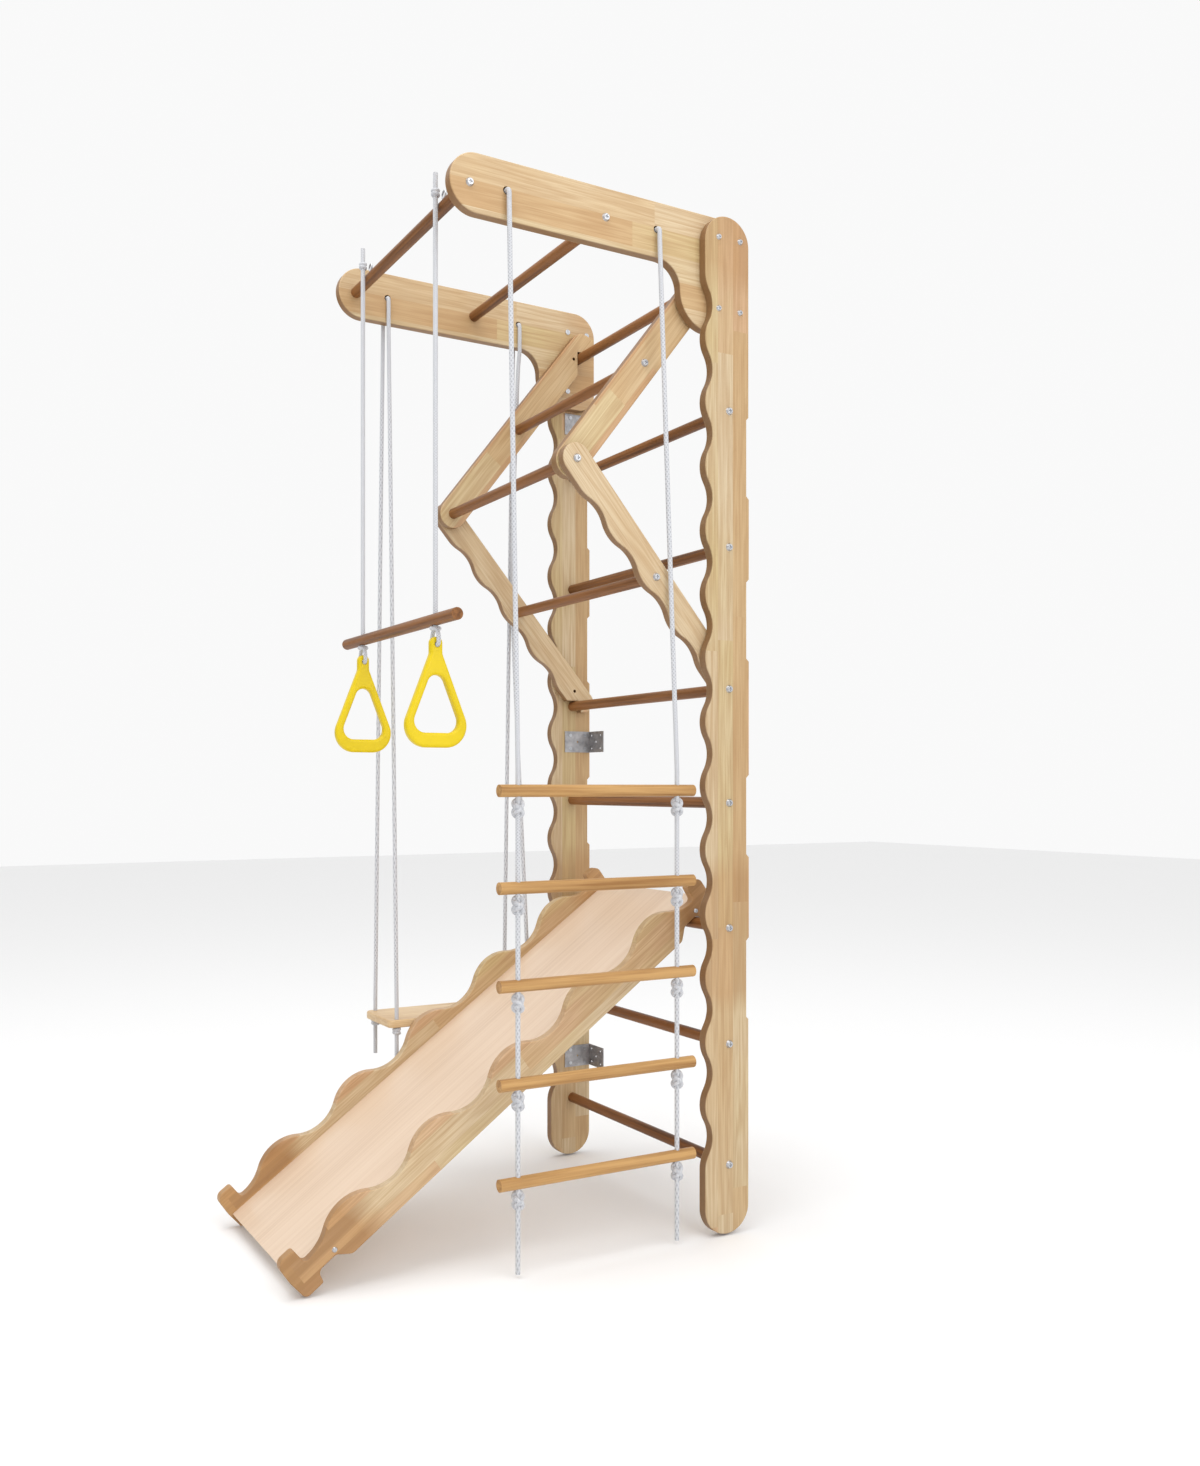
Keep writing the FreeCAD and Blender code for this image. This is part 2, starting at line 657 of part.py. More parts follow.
# ---------------------------------------------------------------- incline, upper frame
# Two straight boards hang from the top rung by open hooks and carry the knee rung.
KNEE = V(0, -size("knee_out"), size("knee_z"))
TOP_RUNG = V(0, RUNG_Y, TOP_RUNG_Z)
board_half = size("upper_board_width") / 2
hook_lean = 14.2
link = TOP_RUNG - KNEE
link_run = math.sqrt(link.Length ** 2 - hook_lean ** 2)
tilt = math.atan2(link.z, link.y) + math.asin(hook_lean / link.Length)
UP = V(0, math.cos(tilt), math.sin(tilt))
UP_FRONT = V(0, -math.sin(tilt), math.cos(tilt))
upper_long = link_run + size("upper_board_past_rung")


def on_upper(along, front, radius=0):
    p = KNEE + UP * along + UP_FRONT * front
    return (p.y, p.z, radius)


upper_edges = rounded([on_upper(upper_long / 2, board_half),
                       on_upper(upper_long + board_half, board_half, board_half),
                       on_upper(upper_long + board_half, -board_half, board_half),
                       on_upper(-board_half, -board_half, board_half),
                       on_upper(-board_half, board_half, board_half),
                       on_upper(upper_long / 2, board_half)])
upper_profile = outline("incline_upper_profile", upper_edges)
mid_upper = on_upper(size("upper_rung_along"), 0)
lock_hole = on_upper(link_run - 21, 0)
LOWER_IN = POST_IN - size("lower_side_gap") - size("lower_board_thick")
LOWER_IN_X = POST_IN_X + " - Sizes.lower_side_gap - Sizes.lower_board_thick"
UPPER_IN_X = "min(%s - Sizes.upper_side_gap; %s - Sizes.knee_gap) - Sizes.board_thick" % (
    ARM_IN_X, LOWER_IN_X)
UPPER_IN = min(ARM_IN - size("upper_side_gap"), LOWER_IN - size("knee_gap")) - THICK
notch = doc.addObject("Part::Box", "hook_notch")
notch.setExpression("Length", "Sizes.overall_width")
notch.setExpression("Width", "120")
notch.setExpression("Height", "75 + Sizes.rung_dia / 2 + Sizes.hook_gap")
notch.setExpression("Placement.Base.x", "-Sizes.overall_width / 2")
notch.setExpression("Placement.Base.y", "-Sizes.rung_off_wall - Sizes.rung_dia / 2 - 1")
notch.setExpression("Placement.Base.z",
                    "Sizes.overall_height + Sizes.arm_above_post - Sizes.top_rung_drop - 75")
for word, side in SIDES:
    start = mirror_at(side, UPPER_IN_X, "Sizes.board_thick")
    board = plank("incline_upper_board_" + word, upper_profile, "Sizes.board_thick", start,
                  lambda c: True)
    wide_start = start + " - 1"
    tools = bolt_row("incline_upper_%s_hole" % word, RUNG_HOLE, wide_start,
                     "Sizes.board_thick + 2", [mid_upper[:2], (KNEE.y, KNEE.z)])
    tools += bolt_row("incline_upper_%s_lock" % word, "Sizes.lock_hole_dia / 2", wide_start,
                      "Sizes.board_thick + 2", [lock_hole[:2]])
    cut("incline_upper_board_" + word, board, tools + [notch])
rung("incline_upper_rung", UPPER_IN_X, mid_upper[0], mid_upper[1])
rung("incline_knee_rung", UPPER_IN_X, KNEE.y, KNEE.z)

# ---------------------------------------------------------------- incline, lower frame
# Two boards with a wavy front edge run from the knee back to the third wall rung.
SEAT = V(0, RUNG_Y, WALL_RUNGS[2])
half_low = size("lower_half_depth")
seat_lean = -20.2
to_seat = SEAT - KNEE
seat_run = math.sqrt(to_seat.Length ** 2 - seat_lean ** 2)
fall = math.atan2(to_seat.z, to_seat.y) - math.asin(seat_lean / to_seat.Length)
DOWN = V(0, math.cos(fall), math.sin(fall))
REAR = V(0, -math.sin(fall), math.cos(fall))


def on_lower(along, rear, radius=0):
    p = KNEE + DOWN * along + REAR * rear
    return (p.y, p.z, radius)


seat_r = RUNG_R + size("hook_gap")
ceiling = SEAT.z + seat_r
lip_y = SEAT.y + seat_r
front_at_ceiling = (ceiling - KNEE.z + half_low * REAR.z) / DOWN.z
first_bulge = 50.0
last_bulge = front_at_ceiling - 32.5
wave_step = (last_bulge - first_bulge) / 4
lower_end = seat_run + 32.5
lip_point = on_lower(lower_end, -10)
lower_edges = rounded([on_lower(last_bulge, -half_low),
                       on_lower(front_at_ceiling, -half_low, 3),
                       (lip_y, ceiling, seat_r),
                       (lip_y, SEAT.z - 17, 2.5),
                       (lip_point[0], SEAT.z - 17, 4),
                       on_lower(lower_end, -4, 3),
                       on_lower(lower_end, half_low, 24),
                       on_lower(-half_low, half_low, half_low),
                       on_lower(-half_low, -half_low, half_low),
                       on_lower(first_bulge, -half_low)])
start_bulge = on_lower(first_bulge, -half_low)
lower_edges += wave(at(start_bulge), DOWN, REAR, wave_step, size("lower_wave"), 8)
lower_profile = outline("incline_lower_profile", lower_edges)
mid_lower = on_lower(299, 0)
pin_hole = on_lower(seat_run - 33, 0)
for word, side in SIDES:
    start = mirror_at(side, LOWER_IN_X, "Sizes.lower_board_thick")
    board = plank("incline_lower_board_" + word, lower_profile, "Sizes.lower_board_thick", start,
                  lambda c: (V(0, c.y, c.z) - SEAT).Length > 27)
    wide_start = start + " - 1"
    tools = bolt_row("incline_lower_%s_hole" % word, RUNG_HOLE, wide_start,
                     "Sizes.lower_board_thick + 2", [mid_lower[:2], (KNEE.y, KNEE.z)])
    tools += bolt_row("incline_lower_%s_lock" % word, "Sizes.lock_hole_dia / 2", wide_start,
                      "Sizes.lower_board_thick + 2", [pin_hole[:2]])
    cut("incline_lower_board_" + word, board, tools)
rung("incline_lower_rung", LOWER_IN_X, mid_lower[0], mid_lower[1])

low_thick = size("lower_board_thick")
joint_gap = LOWER_IN - UPPER_IN - THICK
upper_bolt = bolt(head_dia, head_high, size("bolt_dia"), THICK + bite)
upper_bolts = []
lower_bolts = []
washers = []
# The knee bolt is the pivot: it turns in the lower board's bore with a running gap.
knee_long = THICK + joint_gap + low_thick + 0.5 + bite
knee_stem = Part.makeCylinder(size("bolt_dia") / 2 + size("bolt_gap") - size("pivot_gap"),
                              knee_long, V(-knee_long, 0, 0), V(1, 0, 0))
knee_head = bolt(head_dia, head_high, size("bolt_dia"), 1)
knee_bolt = knee_stem.fuse(knee_head)
washer = Part.makeCylinder(12, joint_gap - 0.5, V(0, 0, 0), V(1, 0, 0))
washer = washer.cut(Part.makeCylinder(size("bolt_dia") / 2 + size("bolt_gap"), 9, V(-1, 0, 0),
                                      V(1, 0, 0)))
for word, side in SIDES:
    turn = ABOUT_Z if side < 0 else None
    upper_bolts.append(placed(upper_bolt, V(side * (UPPER_IN + THICK), mid_upper[0],
                                            mid_upper[1]), turn))
    upper_bolts.append(placed(knee_bolt, V(side * (LOWER_IN + low_thick + 0.5), KNEE.y, KNEE.z),
                              turn))
    lower_bolts.append(placed(bolt(head_dia, head_high, size("bolt_dia"), low_thick + bite),
                              V(side * (LOWER_IN + low_thick), mid_lower[0], mid_lower[1]), turn))
    washers.append(placed(washer, V(side * (UPPER_IN + THICK), KNEE.y, KNEE.z), turn))
group("incline_upper_bolts", upper_bolts)
group("incline_lower_bolts", lower_bolts)
group("knee_washers", washers)

# ---------------------------------------------------------------- slide
# Solid rails with a wavy top edge; the head hooks over the fifth wall rung
# and the foot stands on the floor. Rails are alike at both ends.
HOLD = V(0, RUNG_Y, WALL_RUNGS[4])
span = size("slide_span")
foot_r = size("slide_foot_radius")
hold_along = span + 59.0
hold_up = 10.0
foot_along = -108.0
slope = math.asin((HOLD.z - foot_r) / (hold_along - foot_along))
CLIMB = V(0, math.cos(slope), math.sin(slope))
LIFT = V(0, -math.sin(slope), math.cos(slope))


def on_slide(along, up, radius=0):
    p = HOLD + CLIMB * (along - hold_along) + LIFT * (up - hold_up)
    return (p.y, p.z, radius)


deep = size("slide_rail_deep")
low_edge = deep - size("slide_wave")
hook_top = hold_up + seat_r
lower_half = [(-82.0, low_edge, 9), (-84.0, deep - 2, 6), (-124.0, deep - 2, 17),
              (-125.0, 43.0, 60), (foot_along - foot_r, hold_up - foot_r, foot_r),
              (-77.0, hold_up - foot_r, 5), (-59.0 - seat_r, hook_top, seat_r),
              (-29.0, hook_top, 12), (-4.0, 0.0, 16)]
points = [(-72.0, low_edge, 0)] + lower_half
points += [(span - a, u, r) for a, u, r in reversed(lower_half)]
points += [(span + 72.0, low_edge, 0)]
slide_edges = rounded([on_slide(a, u, r) for a, u, r in points])
step = (span + 144.0) / 5
slide_edges += wave(at(on_slide(-72.0, low_edge)), CLIMB, LIFT, step, size("slide_wave"), 10)
slide_profile = outline("slide_profile", slide_edges)
slide_holes = [on_slide(-25.6, 33.5)[:2], on_slide(span + 72.8, 33.5)[:2],
               on_slide(span + 84.0, 14.0)[:2]]
RAIL_IN_X = "Sizes.slide_half_width - Sizes.slide_rail_thick"
RAIL_IN = size("slide_half_width") - size("slide_rail_thick")
for word, side in SIDES:
    start = mirror_at(side, RAIL_IN_X, "Sizes.slide_rail_thick")
    board = plank("slide_rail_" + word, slide_profile, "Sizes.slide_rail_thick", start,
                  lambda c: c.z > 40 and (V(0, c.y, c.z) - HOLD).Length > 30)
    wide_start = start + " - 1"
    tools = bolt_row("slide_rail_%s_hole" % word, "Sizes.bracket_screw_dia / 2 + 0.1", wide_start,
                     "Sizes.slide_rail_thick + 2", slide_holes[:2])
    blind = start + (" + 4" if side > 0 else " - 1")
    tools += bolt_row("slide_rail_%s_blind" % word, "Sizes.bracket_screw_dia / 2 + 0.1", blind,
                      "Sizes.slide_rail_thick - 3", slide_holes[2:])
    cut("slide_rail_" + word, board, tools)

bed = doc.addObject("Part::Box", "slide_bed_panel")
bed.setExpression("Length", "2 * (%s)" % RAIL_IN_X)
bed.setExpression("Width", "Sizes.slide_span + 236")
bed.setExpression("Height", "Sizes.slide_bed_thick")
bed_y, bed_z, _ = on_slide(-118.0, size("slide_bed_level") - size("slide_bed_thick"))
bed.Placement = FreeCAD.Placement(V(0, bed_y, bed_z),
                                  FreeCAD.Rotation(V(1, 0, 0), math.degrees(slope)))
bed.setExpression("Placement.Base.x", "-(%s)" % RAIL_IN_X)
bed_bores = []
for word, side in SIDES:
    start = RAIL_IN_X + " - 14" if side > 0 else "-(%s) - 1" % RAIL_IN_X
    bed_bores += bolt_row("slide_bed_bore_" + word, "Sizes.bracket_screw_dia / 2", start, "15",
                          slide_holes[:2])
cut("slide_bed", bed, bed_bores)
long_screw = Part.makeCylinder(screw_r, size("slide_rail_thick") + 13,
                               V(-size("slide_rail_thick") - 13, 0, 0), V(1, 0, 0))
short_screw = Part.makeCylinder(screw_r, 14, V(-14, 0, 0), V(1, 0, 0))
screw_head = Part.makeCone(5.5, 4.0, 2.2, V(0, 0, 0), V(1, 0, 0)).cut(cross(1.0, 5.0, 1.2, 2.2))
slide_screws = []
for word, side in SIDES:
    turn = ABOUT_Z if side < 0 else None
    for stem, (y, z) in zip((long_screw, long_screw, short_screw), slide_holes):
        slide_screws.append(placed(stem.fuse(screw_head),
                                   V(side * size("slide_half_width"), y, z), turn))
group("slide_screws", slide_screws)

# ---------------------------------------------------------------- swing
# A plank seat on four ropes that hang from the left arm's saddles.
seat_top = size("swing_seat_top_z")
seat_low = seat_top - size("swing_seat_thick")
seat_mid = (FRONT_Y + BACK_Y) / 2
seat = doc.addObject("Part::Box", "swing_seat_plank")
seat.setExpression("Length", "Sizes.swing_seat_wide")
seat.setExpression("Width", "Sizes.swing_seat_long")
seat.setExpression("Height", "Sizes.swing_seat_thick")
seat.Placement = FreeCAD.Placement(V(0, 0, seat_low), FreeCAD.Rotation())
seat.setExpression("Placement.Base.x",
                   "-(%s + Sizes.board_thick / 2) - Sizes.swing_seat_wide / 2" % ARM_IN_X)
seat.setExpression("Placement.Base.y", "-(Sizes.rope_front_out + Sizes.rope_back_out) / 2"
                   " - Sizes.swing_seat_long / 2")
doc.recompute()
corners = doc.addObject("Part::Fillet", "swing_seat_corners")
corners.Base = seat
corners.Edges = [(number, 15.0, 15.0) for number, edge in enumerate(seat.Shape.Edges, 1)
                 if edge.BoundBox.ZLength > 1]
doc.recompute()
softened = doc.addObject("Part::Fillet", "swing_seat_softened")
softened.Base = corners
softened.Edges = [(number, 4.0, 4.0) for number, edge in enumerate(corners.Shape.Edges, 1)
                  if edge.BoundBox.ZLength < 0.01]
half_spread = size("swing_rope_spread") / 2
SEAT_HOLE = "Sizes.rope_dia / 2 + 0.3"
seat_bores = []
for word, x in (("outer", -1), ("inner", 1)):
    for place, y in (("front", FRONT_Y), ("back", BACK_Y)):
        seat_bores.append(rod("swing_bore_%s_%s" % (place, word), SEAT_HOLE,
                              "Sizes.swing_seat_thick + 4",
                              "-(%s + Sizes.board_thick / 2) + %d * Sizes.swing_rope_spread / 2"
                              % (ARM_IN_X, x), y, seat_low - 2, "z"))
cut("swing_seat", softened, seat_bores)
swing_knots = []
for place, y in (("front", FRONT_Y), ("back", BACK_Y)):
    for word, x in (("outer", -1), ("inner", 1)):
        foot = -ARM_MID + x * half_spread
        bends = [(foot, y, seat_top + 25, 900)]
        if place == "back" and word == "inner":
            # This rope passes outside the incline's boards and their bolt heads.
            bends = [(-UPPER_IN - THICK - ROPE_R - 1.5, y, ARM_LOW - 58.5, 200),
                     (-LOWER_IN - low_thick - head_high - ROPE_R - 3, y, size("knee_z") - 38, 600),
                     (-LOWER_IN - low_thick - head_high - ROPE_R - 3, y, mid_lower[1] - 11, 600),
                     (foot, y, seat_top + 25, 450)]
        elif place == "back":
            # This rope keeps clear of its neighbour where that one passes the boards.
            level = size("knee_z") - 38
            share = (ARM_LOW - 11.5 - level) / (ARM_LOW - 11.5 - seat_top - 25)
            straight = -ARM_MID - leg_off + share * (foot + ARM_MID + leg_off)
            clear = -LOWER_IN - low_thick - head_high - 3 * ROPE_R - 3.6
            if clear < straight - 0.2:
                bends = [(clear, y, level, 900)] + bends
        rope("swing_rope_%s_%s" % (place, word),
             [(-ARM_MID + x * leg_off, y, ARM_LOW - 11.5)] + bends
             + [(foot, y, seat_low - 86)])
        swing_knots.append(knot(foot, y, seat_low - 18, 18, 20))
group("swing_knots", swing_knots)

# ---------------------------------------------------------------- rope ladder
# Five rungs on two ropes beside the right arm, a knot under every rung.
LADDER_X_TEXT = POST_IN_X + " + Sizes.ladder_side_gap"
ladder_front = -size("ladder_front_out")
ladder_back = -size("ladder_back_out")
ladder_knots = []
for number, z in enumerate(LADDER_RUNGS, 1):
    name = "ladder_rung_%d" % number
    bar = rod(name + "_bar", "Sizes.rung_dia / 2", "Sizes.ladder_rung_long", LADDER_X_TEXT,
              -size("ladder_rung_front_out"), z, "y")
    bores = [rod("%s_bore_%s" % (name, word), SEAT_HOLE, "Sizes.rung_dia + 10", LADDER_X_TEXT,
                 y, z - RUNG_R - 5, "z")
             for word, y in (("front", ladder_front), ("back", ladder_back))]
    cut(name, bar, bores)
    for y in (ladder_front, ladder_back):
        ladder_knots.append(knot(LADDER_X, y, z - RUNG_R - size("knot_high"),
                                 size("knot_high"), size("knot_dia")))
group("ladder_knots", ladder_knots)
for place, high, low in (("front", FRONT_Y, ladder_front), ("back", BACK_Y, ladder_back)):
    rope("ladder_rope_" + place, [(LADDER_X, high, ARM_AXIS - 30.5),
                                  (LADDER_X, low, LADDER_RUNGS[0] + 40, 900),
                                  (LADDER_X, low, 4)])

# ---------------------------------------------------------------- trapeze
# A bar on two ropes that hang in front of the tip rung, a hand ring under each rope.
TRAPEZE_Y = TIP_Y - RUNG_R - ROPE_R - size("trapeze_rope_gap")
BAR_Z = size("trapeze_bar_z")
RING_TOP = BAR_Z - RUNG_R - size("ring_under_bar")
EYE_HOLE_Z = RING_TOP - 16
bar = rod("trapeze_bar_blank", "Sizes.rung_dia / 2", "Sizes.trapeze_bar_long",
          "-Sizes.trapeze_bar_long / 2", TRAPEZE_Y, BAR_Z)
bar_bores = [rod("trapeze_bore_" + word, SEAT_HOLE, "Sizes.rung_dia + 10",
                 "%d * Sizes.trapeze_rope_span / 2" % side, TRAPEZE_Y, BAR_Z - RUNG_R - 5, "z")
             for word, side in SIDES]
cut("trapeze_bar", bar, bar_bores)
trapeze_knots = []
for word, side in SIDES:
    x = side * EYE_X
    rope("trapeze_rope_" + word, [(x, TRAPEZE_Y, EYE_Z + 40),
                                  (x, TRAPEZE_Y, BAR_Z - RUNG_R - 6)])
    trapeze_knots.append(knot(x, TRAPEZE_Y, EYE_Z - 11, 22, size("rope_dia") + 7))
    leg = size("ring_thick") / 2 + ROPE_R + 0.6
    sling = tube([(x - 9, TRAPEZE_Y, RING_TOP + 15),
                  (x - leg, TRAPEZE_Y, RING_TOP + 1, 6),
                  (x - leg, TRAPEZE_Y, EYE_HOLE_Z, 8),
                  (x + leg, TRAPEZE_Y, EYE_HOLE_Z, 8),
                  (x + leg, TRAPEZE_Y, RING_TOP + 1, 6),
                  (x + 9, TRAPEZE_Y, RING_TOP + 15)], ROPE_R - 0.5)
    collar = Part.makeCylinder(14, 10, V(x, TRAPEZE_Y, RING_TOP + 12))
    collar = collar.makeFillet(3, [edge for edge in collar.Edges if edge.Length > 60])
    collar = collar.fuse(sling)
    trapeze_knots.append(collar.cut(Part.makeCylinder(ROPE_R, 60, V(x, TRAPEZE_Y,
                                                                    BAR_Z - RUNG_R - 6))))
group("trapeze_knots", trapeze_knots)


# Hand rings: flat rounded triangles with a thick grip bar below and an eye above.
ring_foot = RING_TOP - size("ring_high")
neck = size("ring_neck_half")
tall = size("ring_high")
foot = size("ring_half_foot")


def on_ring(y, z, radius=0):
    return (TRAPEZE_Y + y, ring_foot + z, radius)


ring_edges = rounded([on_ring(0, 0), on_ring(foot, 0, 45), on_ring(neck, tall - 34, 18),
                      on_ring(neck, tall, 12.5), on_ring(-neck, tall, 12.5),
                      on_ring(-neck, tall - 34, 18), on_ring(-foot, 0, 45), on_ring(0, 0)])
ring_profile = outline("ring_profile", ring_edges)
bar_deep = size("ring_bar_deep")
grip_edges = rounded([on_ring(0, bar_deep), on_ring(foot - 28.3, bar_deep, 24),
                      on_ring(0, bar_deep + (foot - 28.3) * (tall - 34) / (foot - neck), 20),
                      on_ring(-foot + 28.3, bar_deep, 24), on_ring(0, bar_deep)])
grip_profile = outline("ring_grip_profile", grip_edges)
for word, side in SIDES:
    low_x = "%d * Sizes.trapeze_rope_span / 2 - Sizes.ring_thick / 2" % side
    outer = doc.addObject("Part::Extrusion", "ring_%s_outer" % word)
    inner = doc.addObject("Part::Extrusion", "ring_%s_inner" % word)
    for item, profile, extra in ((outer, ring_profile, 0), (inner, grip_profile, 1)):
        item.Base = profile
        item.DirMode = "Custom"
        item.Dir = V(1, 0, 0)
        item.Solid = True
        item.setExpression("LengthFwd", "Sizes.ring_thick + %d" % (2 * extra))
        item.setExpression("Placement.Base.x", low_x + " - %d" % extra)
    blank = cut("ring_%s_blank" % word, outer, [inner])
    doc.recompute()
    soft = doc.addObject("Part::Fillet", "ring_%s_soft" % word)
    soft.Base = blank
    soft.Edges = [(number, 6.0, 6.0) for number, edge in enumerate(blank.Shape.Edges, 1)
                  if edge.BoundBox.XLength < 1e-6]
    eye_hole = rod("ring_%s_eye" % word, "Sizes.rope_dia / 2 + 1",
                   "Sizes.ring_thick + 4", low_x + " - 2", TRAPEZE_Y, EYE_HOLE_Z)
    cut("ring_" + word, soft, [eye_hole])

# ---------------------------------------------------------------- checks and files
doc.recompute()
NODES = ["post_left_upper", "post_left_lower", "post_right_upper", "post_right_lower",
         "arm_left", "arm_right"]
NODES += ["wall_rung_%d" % number for number in range(1, 8)]
NODES += ["arm_rung_tip", "arm_rung_middle", "arm_rung_top", "rung_bolts", "arm_bolts",
          "arm_nuts", "wall_brackets", "bracket_screws", "eye_bolts", "ladder_stub_front",
          "ladder_stub_back", "swing_loop_front", "swing_loop_back",
          "incline_upper_board_left", "incline_upper_board_right", "incline_upper_rung",
          "incline_knee_rung", "incline_upper_bolts", "knee_washers",
          "incline_lower_board_left", "incline_lower_board_right", "incline_lower_rung",
          "incline_lower_bolts", "slide_rail_left", "slide_rail_right", "slide_bed",
          "slide_screws", "swing_seat", "swing_rope_front_outer", "swing_rope_front_inner",
          "swing_rope_back_outer", "swing_rope_back_inner", "swing_knots"]
NODES += ["ladder_rung_%d" % number for number in range(1, 6)]
NODES += ["ladder_rope_front", "ladder_rope_back", "ladder_knots", "trapeze_bar",
          "trapeze_rope_left", "trapeze_rope_right", "trapeze_knots", "ring_left", "ring_right"]
for item in doc.Objects:
    if "Invalid" in item.State or "Error" in item.State:
        raise RuntimeError("failed object: " + item.Label)
ready = []
for node in NODES:
    found = [item for item in doc.getObjectsByLabel(node)]
    if len(found) != 1:
        raise RuntimeError("sub-part not found once: " + node)
    shape = found[0].Shape
    if shape.isNull() or not shape.isValid() or not shape.Solids:
        raise RuntimeError("bad shape: " + node)
    ready.append((node, shape))
os.makedirs("parts", exist_ok=True)
for node, shape in ready:
    shape.exportStep("parts/%s.step" % node)
    print("%-28s solids %2d volume %10.0f" % (node, len(shape.Solids), shape.Volume))
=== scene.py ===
import math

import bmesh
import bpy
from mathutils import Matrix, Vector


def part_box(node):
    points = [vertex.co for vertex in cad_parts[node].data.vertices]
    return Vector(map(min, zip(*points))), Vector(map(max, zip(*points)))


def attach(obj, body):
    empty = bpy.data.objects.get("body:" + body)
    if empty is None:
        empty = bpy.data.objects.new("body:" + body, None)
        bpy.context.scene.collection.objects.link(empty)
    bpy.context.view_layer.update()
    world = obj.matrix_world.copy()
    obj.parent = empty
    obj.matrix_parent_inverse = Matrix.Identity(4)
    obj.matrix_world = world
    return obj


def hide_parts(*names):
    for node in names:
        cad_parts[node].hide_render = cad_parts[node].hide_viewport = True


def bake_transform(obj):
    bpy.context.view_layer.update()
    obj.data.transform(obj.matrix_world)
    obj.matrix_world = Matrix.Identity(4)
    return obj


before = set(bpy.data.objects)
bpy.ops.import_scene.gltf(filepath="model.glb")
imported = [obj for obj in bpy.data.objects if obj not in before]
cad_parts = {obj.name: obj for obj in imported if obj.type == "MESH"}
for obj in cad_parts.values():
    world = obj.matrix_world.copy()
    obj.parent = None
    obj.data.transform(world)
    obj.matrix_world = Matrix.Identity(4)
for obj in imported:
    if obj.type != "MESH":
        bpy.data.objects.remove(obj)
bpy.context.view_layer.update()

scene = bpy.context.scene

# ------------------------------------------------------------------ viewpoint
# The set is seen from its ladder side at chest height, a little to the front,
# so the wavy posts, the slide and the overhead arms all show.
camera_data = bpy.data.cameras.new("viewpoint")
camera_data.sensor_fit = "HORIZONTAL"
camera_data.sensor_width = 36.0
camera_data.lens = 37.64
camera_data.shift_x = 0.0417
camera_data.shift_y = 0.0445
camera_data.clip_start = 0.05
viewpoint = bpy.data.objects.new("viewpoint", camera_data)
viewpoint.location = (2.5326, -1.7166, 0.9677)
viewpoint.rotation_euler = (math.radians(90), 0, math.radians(60.82))
scene.collection.objects.link(viewpoint)
scene.camera = viewpoint

# ------------------------------------------------------------------ ropes
# White braided polyester cord, 10 mm thick, knotted by hand. Each rope is one
# length: through its hole in the arm or its eye, and down to the seat or bar.
ROPE_WIDE = 0.010
SLING_WIDE = 0.009
TIGHT_STRAND = ROPE_WIDE * 0.46
BRAID_STEP = 0.0050
BRAID_ROUND = 4.0
CORD_SHADE = (0.34, 0.35, 0.38, 1)
CORD_WHITE = (0.74, 0.75, 0.77, 1)


class Line:
    """One shader value that can be used in sums."""

    def __init__(self, finish, socket):
        self.finish = finish
        self.socket = socket

    def sum(self, how, *values):
        return self.finish.node("ShaderNodeMath", {"operation": how}, values)

    def __add__(self, other):
        return self.sum("ADD", self, other)

    def __radd__(self, other):
        return self.sum("ADD", other, self)

    def __sub__(self, other):
        return self.sum("SUBTRACT", self, other)

    def __rsub__(self, other):
        return self.sum("SUBTRACT", other, self)

    def __mul__(self, other):
        return self.sum("MULTIPLY", self, other)

    def __rmul__(self, other):
        return self.sum("MULTIPLY", other, self)

    def __pow__(self, other):
        return self.sum("POWER", self, other)

    def __abs__(self):
        return self.sum("ABSOLUTE", self)

    def sine(self):
        return self.sum("SINE", self)

    def floor(self):
        return self.sum("FLOOR", self)

    def or_more(self, other):
        return self.sum("MAXIMUM", self, other)


